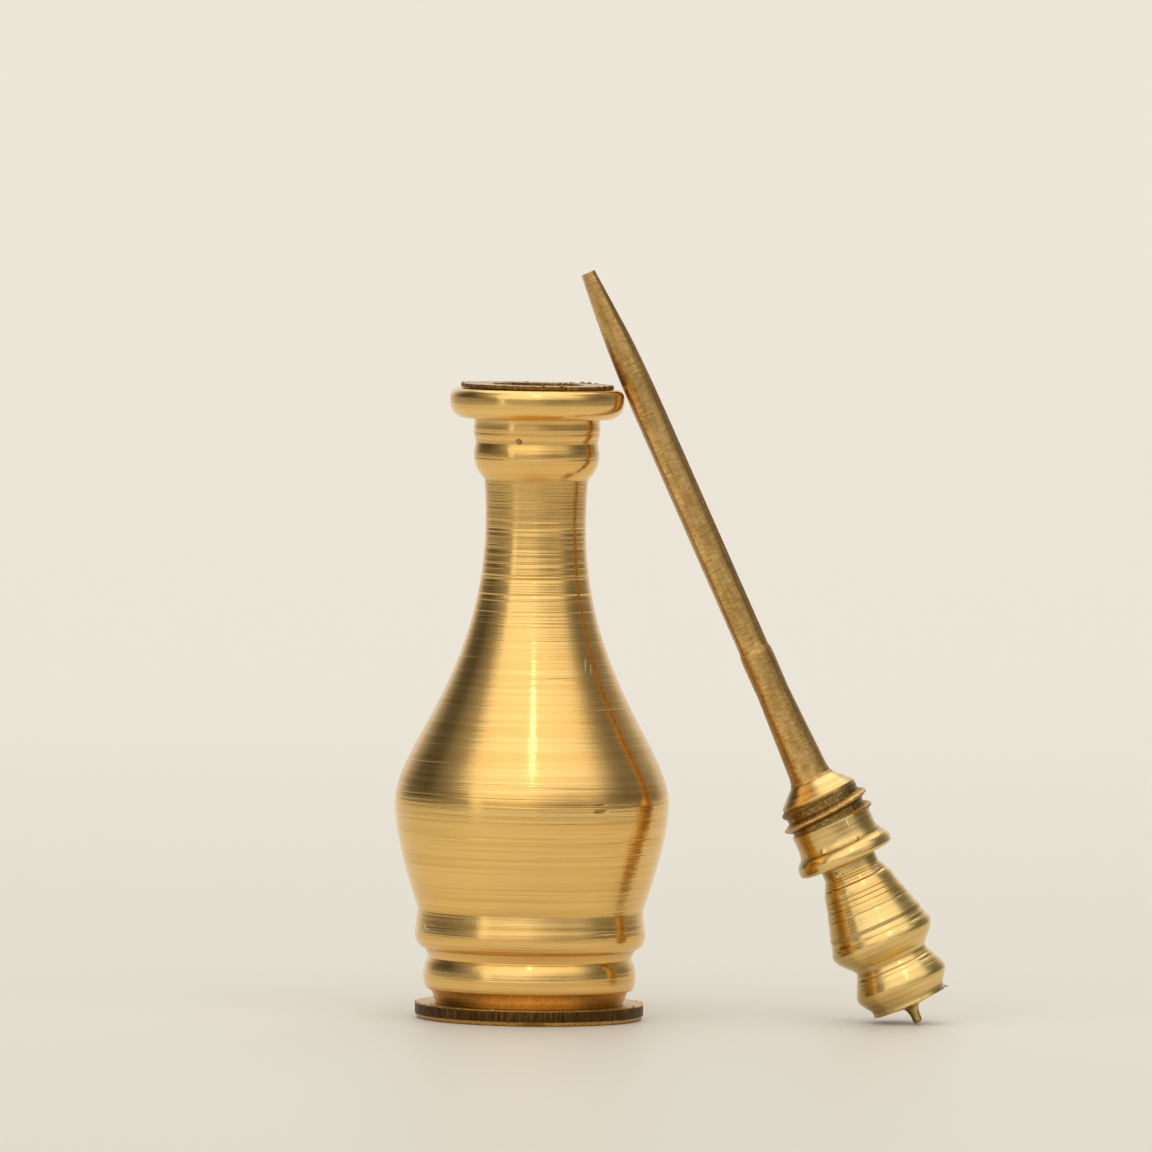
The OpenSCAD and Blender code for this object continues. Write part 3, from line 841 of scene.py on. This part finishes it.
def make_stopper_thread():
    """The cut thread, its crest torn here and there, running out far up on the cone."""
    profile = [(CORE_R - 0.06, -0.52), (CREST_R - 0.04, -0.11), (CREST_R, 0.07),
               (CORE_R - 0.06, 0.50)]
    piece = helix("cut_thread", profile, THREAD_LOW, THREAD_HIGH, THREAD_START)
    run_out(piece, THREAD_LOW, THREAD_HIGH, CORE_R - 0.12, 0.35, 1.15, THREAD_TOP)
    rough = waves(21, 14, 44, 18)
    for vertex in piece.data.vertices:
        r, angle, z = around(vertex)
        if r > CORE_R + 0.2:
            turn = angle + math.tau * round((z - THREAD_LOW) / PITCH - angle / math.tau)
            out = 0.08 * rough(turn) * MM
            vertex.co.x += out * math.cos(angle)
            vertex.co.y += out * math.sin(angle)
            vertex.co.z += 0.055 * rough(turn * 1.3 + 1) * MM
    bpy.ops.object.mode_set(mode="EDIT")
    close_up(piece, 40)
    return settled(piece, -LEAN, SEAT)


def stick_radius(z):
    """The stick's radius before it is filed, at a height: even, then narrowing to its tip."""
    if z <= TIP_START:
        return STICK_R
    share = min(1.0, (z - TIP_START) / (STICK_TOP - TIP_START))
    return STICK_R - (STICK_R - TIP_R) * share ** TIP_POWER


def make_stick():
    """The stick: turned round at its root, then filed in facets up to its flat tip."""
    outline = [(0, NOSE_TOP - 0.3), (STICK_ROOT_R + 0.25, NOSE_TOP - 0.3),
               (STICK_ROOT_R + 0.2, NOSE_TOP - 0.02), (STICK_ROOT_R + 0.05, NOSE_TOP + 0.2),
               (STICK_ROOT_R - 0.05, NOSE_TOP + 0.8), (STICK_LOW_R, TAPER_TOP),
               (STICK_LOW_R + 0.04, STEP - 0.8), (STICK_LOW_R + 0.02, STEP), (STICK_R, STEP + 0.5)]
    steps = 24
    for i in range(steps + 1):
        z = TIP_START + (STICK_TOP - TIP_START) * i / steps
        outline.append((stick_radius(z), z))
    outline += [(TIP_R - 0.1, STICK_TOP), (0, STICK_TOP)]
    piece = turned("filed_stick", filled(outline, 0.8), STICK_TURNS, 20)
    bpy.ops.object.mode_set(mode="EDIT")
    middle = TIP_START + 0.55 * (STICK_TOP - TIP_START)
    slope = math.atan2(TIP_R - stick_radius(middle), STICK_TOP - middle)
    for turn in FLAT_TURNS:
        out = Vector((math.cos(math.radians(turn)), math.sin(math.radians(turn)), 0))
        file_flat(out, STICK_R - FLAT_DEPTH, STEP + 1.0, 0.0)
        file_flat(out, stick_radius(middle) - FLAT_DEPTH, middle, slope)
    close_up(piece, 12)
    return settled(piece, -LEAN, SEAT)


def file_flat(out, radius, height, slope):
    """Files one flat: corners that stand outside its plane, above its start, drop onto it."""
    mesh = bpy.context.object.data
    bpy.ops.object.mode_set(mode="OBJECT")
    normal = (out * math.cos(slope) - Vector((0, 0, 1)) * math.sin(slope)).normalized()
    place = out * radius * MM + Vector((0, 0, height * MM))
    for vertex in mesh.vertices:
        over = (vertex.co - place).dot(normal)
        if over > 0 and vertex.co.z > (STEP + 0.6) * MM:
            vertex.co -= out * over / out.dot(normal)
    bpy.ops.object.mode_set(mode="EDIT")


# The photographer's table, light and camera

def make_table():
    """A sheet of warm white paper under everything, faintly glossy. It ends a little way in front
    and at the sides, runs far away behind, and has painted shade that makes it a little darker in
    front, where less light falls."""
    put_down()
    bpy.ops.mesh.primitive_plane_add(size=0.9, location=(0, 0.03, 0))
    table = bpy.context.object
    table.name = "table"
    bpy.ops.object.transform_apply(location=True, rotation=True, scale=True)
    bpy.ops.object.mode_set(mode="EDIT")
    bpy.ops.mesh.select_mode(type="VERT")
    bpy.ops.mesh.select_all(action="DESELECT")
    bpy.ops.object.mode_set(mode="OBJECT")
    for vertex in table.data.vertices:
        vertex.select = vertex.co.y > 0
    bpy.ops.object.mode_set(mode="EDIT")
    bpy.ops.mesh.extrude_edges_move(TRANSFORM_OT_translate={"value": (0, 60, 0)})
    bpy.ops.object.mode_set(mode="OBJECT")
    for vertex in table.data.vertices:
        if vertex.co.y > 1:
            vertex.co.x *= 7
    material, tree = new_finish("warm_white_paper_with_painted_shade")
    back = add(tree, "SeparateXYZ", links={0: add(tree, "TexCoord", out="Object")}, out=1)
    # Painted shade: the paper darkens towards the front, where less light falls on it
    tone = spread(tree, back, [(-0.45, "#d5d3c7"), (-0.12, "#e3e0d6"), (0.05, "#e6e3d9"),
                               (0.55, "#efebe2"), (2.6, "#f1ede4"), (20.0, "#f1ede4")])
    surface(tree, {"Roughness": 0.48, "Specular IOR Level": 0.3}, {"Base Color": tone})
    table.data.materials.append(material)
    return table


def make_lamp():
    """One narrow lamp high in front, for the thin bright line down each turned piece."""
    data = bpy.data.lights.new("spark", "AREA")
    data.shape = "RECTANGLE"
    data.size = 0.014
    data.size_y = 0.38
    data.energy = 0.2
    lamp = bpy.data.objects.new("spark", data)
    bpy.context.scene.collection.objects.link(lamp)
    lamp.location = LAMP_PLACE
    lamp.rotation_euler = (LAMP_AIM - LAMP_PLACE).to_track_quat("-Z", "Y").to_euler()


def make_room():
    """The room round the table: a tall pale screen in front, a pale sheet behind and dim walls at
    the sides, which give the turned brass its dark and bright bands. Near the horizon, where the
    table ends, the room is a duller grey all round. A soft white ceiling hangs a little behind."""
    world = bpy.data.worlds.new("studio")
    bpy.context.scene.world = world
    world.use_nodes = True
    tree = world.node_tree
    tree.nodes.clear()
    direction = add(tree, "TexCoord", out="Generated")
    right, back, up = add(tree, "SeparateXYZ", links={0: direction}).node.outputs
    forward = add(tree, "Math", {"operation": "MULTIPLY", 1: -1.0}, {0: back})
    turn = add(tree, "Math", {"operation": "ARCTAN2"}, {0: right, 1: forward})
    band, *walls = [spread(tree, turn, [(math.radians(a), v / ROOM_GAIN) for a, v in stops])
                    for stops in (ROOM_LOW, ROOM_MID, ROOM_HIGH, ROOM_TOP)]
    for wall, (low, high) in zip(walls, ROOM_STEPS):
        climb = add(tree, "MapRange", {1: low, 2: high}, {0: up})
        band = painted(tree, band, [(climb, wall)])
    over = add(tree, "VectorMath", {"operation": "DOT_PRODUCT", 1: (0, 0.34, 0.94)}, {0: direction},
               "Value")
    ceiling = add(tree, "MapRange", {1: 0.80, 2: 0.90}, {0: over})
    band = painted(tree, band, [(ceiling, "#ffffff")])
    tint = add(tree, "Mix", {"data_type": "RGBA", "blend_type": "MULTIPLY", 0: 1.0,
                             7: linear("#fffbf4")}, {6: band}, 2)
    seen = add(tree, "Background", {"Strength": ROOM_GAIN}, {"Color": tint})
    plain = add(tree, "Background", {"Color": linear("#e9e3d8"), "Strength": 1.0})
    direct = add(tree, "LightPath", out="Is Camera Ray")
    both = add(tree, "MixShader", links={0: direct, 1: seen, 2: plain})
    add(tree, "OutputWorld", links={"Surface": both})


def make_camera():
    """Just above the table and far back, turned a little to the left as the photograph is."""
    data = bpy.data.cameras.new("camera")
    data.sensor_width = 36.0
    data.lens = LENS
    data.clip_start = 0.05
    data.clip_end = 300.0
    camera = bpy.data.objects.new("camera", data)
    bpy.context.scene.collection.objects.link(camera)
    look = (CAMERA_AIM - CAMERA_PLACE).to_track_quat("-Z", "Y")
    roll = Euler((0, 0, CAMERA_ROLL)).to_quaternion()
    camera.location = CAMERA_PLACE
    camera.rotation_euler = (look @ roll).to_euler()
    bpy.context.scene.camera = camera


# Finishes and pieces. Depths, grime with painted shade, and edges_z go by height, edges by
# radius, in millimetres. A painted side shade goes from -1 at the left to 1 at the right. Dents,
# rubs and reddish patches are a place and a size.

bottle_brass = turned_brass(
    "turned_brass_body", True, tones=("#f8cf83", "#ecbd6e"), spacing=0.30, rough=0.17,
    depths=[(0.0, 0.5), (17.0, 0.5), (22.0, 0.6), (35.0, 0.9), (37.0, 1.0), (51.0, 1.1), (51.3, 0.25),
            (61.0, 0.2)],
    # Grime and painted shade, by height, in the corners and grooves
    grime_and_shade=[(1.0, 0.4), (1.6, 0.5), (2.2, 0.2), (2.75, 0.6), (2.95, 0.0), (6.2, 0.0), (6.6, 0.25),
           (7.0, 0.0), (10.0, 0.0), (10.3, 0.2), (10.6, 0.0), (19.28, 0.0), (19.35, 0.28),
           (19.42, 0.0), (45.0, 0.0), (48.0, 0.2), (51.2, 0.2), (51.6, 0.0), (53.15, 0.0),
           (53.25, 0.3), (53.4, 0.0), (54.3, 0.0), (54.6, 0.15), (54.9, 0.25), (55.1, 0.0),
           (55.5, 0.0), (55.6, 0.3), (55.75, 0.0), (56.8, 0.0), (57.0, 0.3), (57.2, 0.0),
           (61.0, 0.0)],
    # Dents, sunk and darkened with painted shade
    dents=[((6.55, -11.25, 20.45), (0.85, 1.2, 0.20)), ((6.45, -11.30, 21.05), (0.75, 1.2, 0.13)),
           ((-1.70, -5.60, 54.95), (0.36, 0.6, 0.30))],
    rubs=[((4.9, -5.6, 34.1), (0.10, 1.0, 1.1)), ((5.4, -5.4, 33.6), (0.08, 1.0, 0.7)),
          ((-9.95, -4.6, 8.9), (0.10, 0.8, 0.35)), ((-9.7, -4.9, 8.7), (0.3, 0.8, 0.08))])
stopper_brass = turned_brass(
    "turned_brass_stopper", False, tones=("#f6d892", "#dfb971"), spacing=0.34, rough=0.18,
    depths=[(-19.0, 0.3), (-16.4, 0.35), (-12.0, 0.5), (-3.0, 0.8), (-1.7, 0.25), (7.0, 0.35)],
    # Grime and painted shade, by height, in the corners, the grooves and between the thread's ridges
    grime_and_shade=[(-19.0, 0.3), (-17.0, 0.35), (-15.8, 0.25), (-15.4, 0.05), (-12.3, 0.05), (-12.0, 0.25),
           (-11.7, 0.0), (-8.45, 0.0), (-8.35, 0.35), (-8.05, 0.35), (-7.95, 0.0), (-2.6, 0.0),
           (-1.7, 0.5), (-1.5, 0.0), (-0.3, 0.0), (0.02, 0.55), (0.25, 0.1), (2.2, 0.05),
           (2.6, 0.85), (4.9, 0.85), (5.3, 0.1), (6.6, 0.0), (6.9, 0.4)],
    # Dents, sunk and darkened with painted shade
    dents=[((-1.45, -2.6, -2.2), (0.18, 0.8, 0.14)), ((-0.9, -2.6, -2.5), (0.09, 0.8, 0.09))],
    rubs=[((1.5, -3.5, 1.9), (0.08, 0.8, 0.5)), ((2.4, -4.0, -9.4), (0.5, 0.9, 0.07))],
    # Painted shade on the stopper's left side
    side_shade=[(-1.0, 0.3), (-0.85, 0.5), (-0.68, 0.42), (-0.55, 0.0), (1.0, 0.0)])
thread_brass = torn_brass_with_painted_shade("torn_brass_with_painted_shade")
disc_brass = raw_brass(
    "raw_disc_brass", ("#38240f", "#574020", "#7a5c2e", "#b4935a"),
    edges=[(0.0, 0.0), (BASE_R - 0.18, 0.0), (BASE_R - 0.08, 1.0), (BASE_R + 0.5, 1.0)],
    edges_z=[(-0.1, 0.0), (0.36, 0.0), (0.44, 1.0), (1.36, 1.0), (1.44, 0.1), (3.0, 0.1)],
    # A reddish-brown patch low on the front of the edge
    red_patches=[((0.4, -10.8, 0.1), (1.5, 1.0, 0.5))])
ring_brass = raw_brass(
    "raw_ring_brass", ("#58381a", "#8a652c", "#b8924e", "#ecd09a"),
    edges=[(3.9, 1.0), (RING_HOLE_R + 0.15, 1.0), (RING_HOLE_R + 0.4, 0.0), (RING_R - 0.4, 0.0),
           (RING_R - 0.15, 1.0), (8.0, 1.0)])
stick_brass = filed_brass(
    "filed_brass",
    # Painted shade on the stick's facets from left to right; the lit facet is left bright
    facet_shade=[(-2.0, 0.55), (-1.15, 0.42), (-0.95, 0.05), (-0.6, 0.05), (-0.4, 0.24), (0.1, 0.32),
            (0.45, 0.26), (0.8, 0.5), (1.2, 0.3), (2.0, 0.3)])

dress(make_body(), bottle_brass, "bottle", "turned_brass_body", "bottle_body")
dress(make_mouth_thread(), bottle_brass, "bottle", "turned_brass_body")
dress(make_disc(), disc_brass, "bottle", "raw_disc_brass", "base_disc")
dress(make_ring(), ring_brass, "bottle", "raw_ring_brass", "mouth_ring")
dress(make_stopper(), stopper_brass, "stopper_and_stick", "turned_brass_stopper", "stopper")
dress(make_stopper_thread(), thread_brass, "stopper_and_stick", "turned_brass_stopper")
dress(make_stick(), stick_brass, "stopper_and_stick", "filed_brass", "applicator_stick")

make_table()
make_room()
make_lamp()
make_camera()

bpy.context.scene.view_settings.view_transform = "Standard"
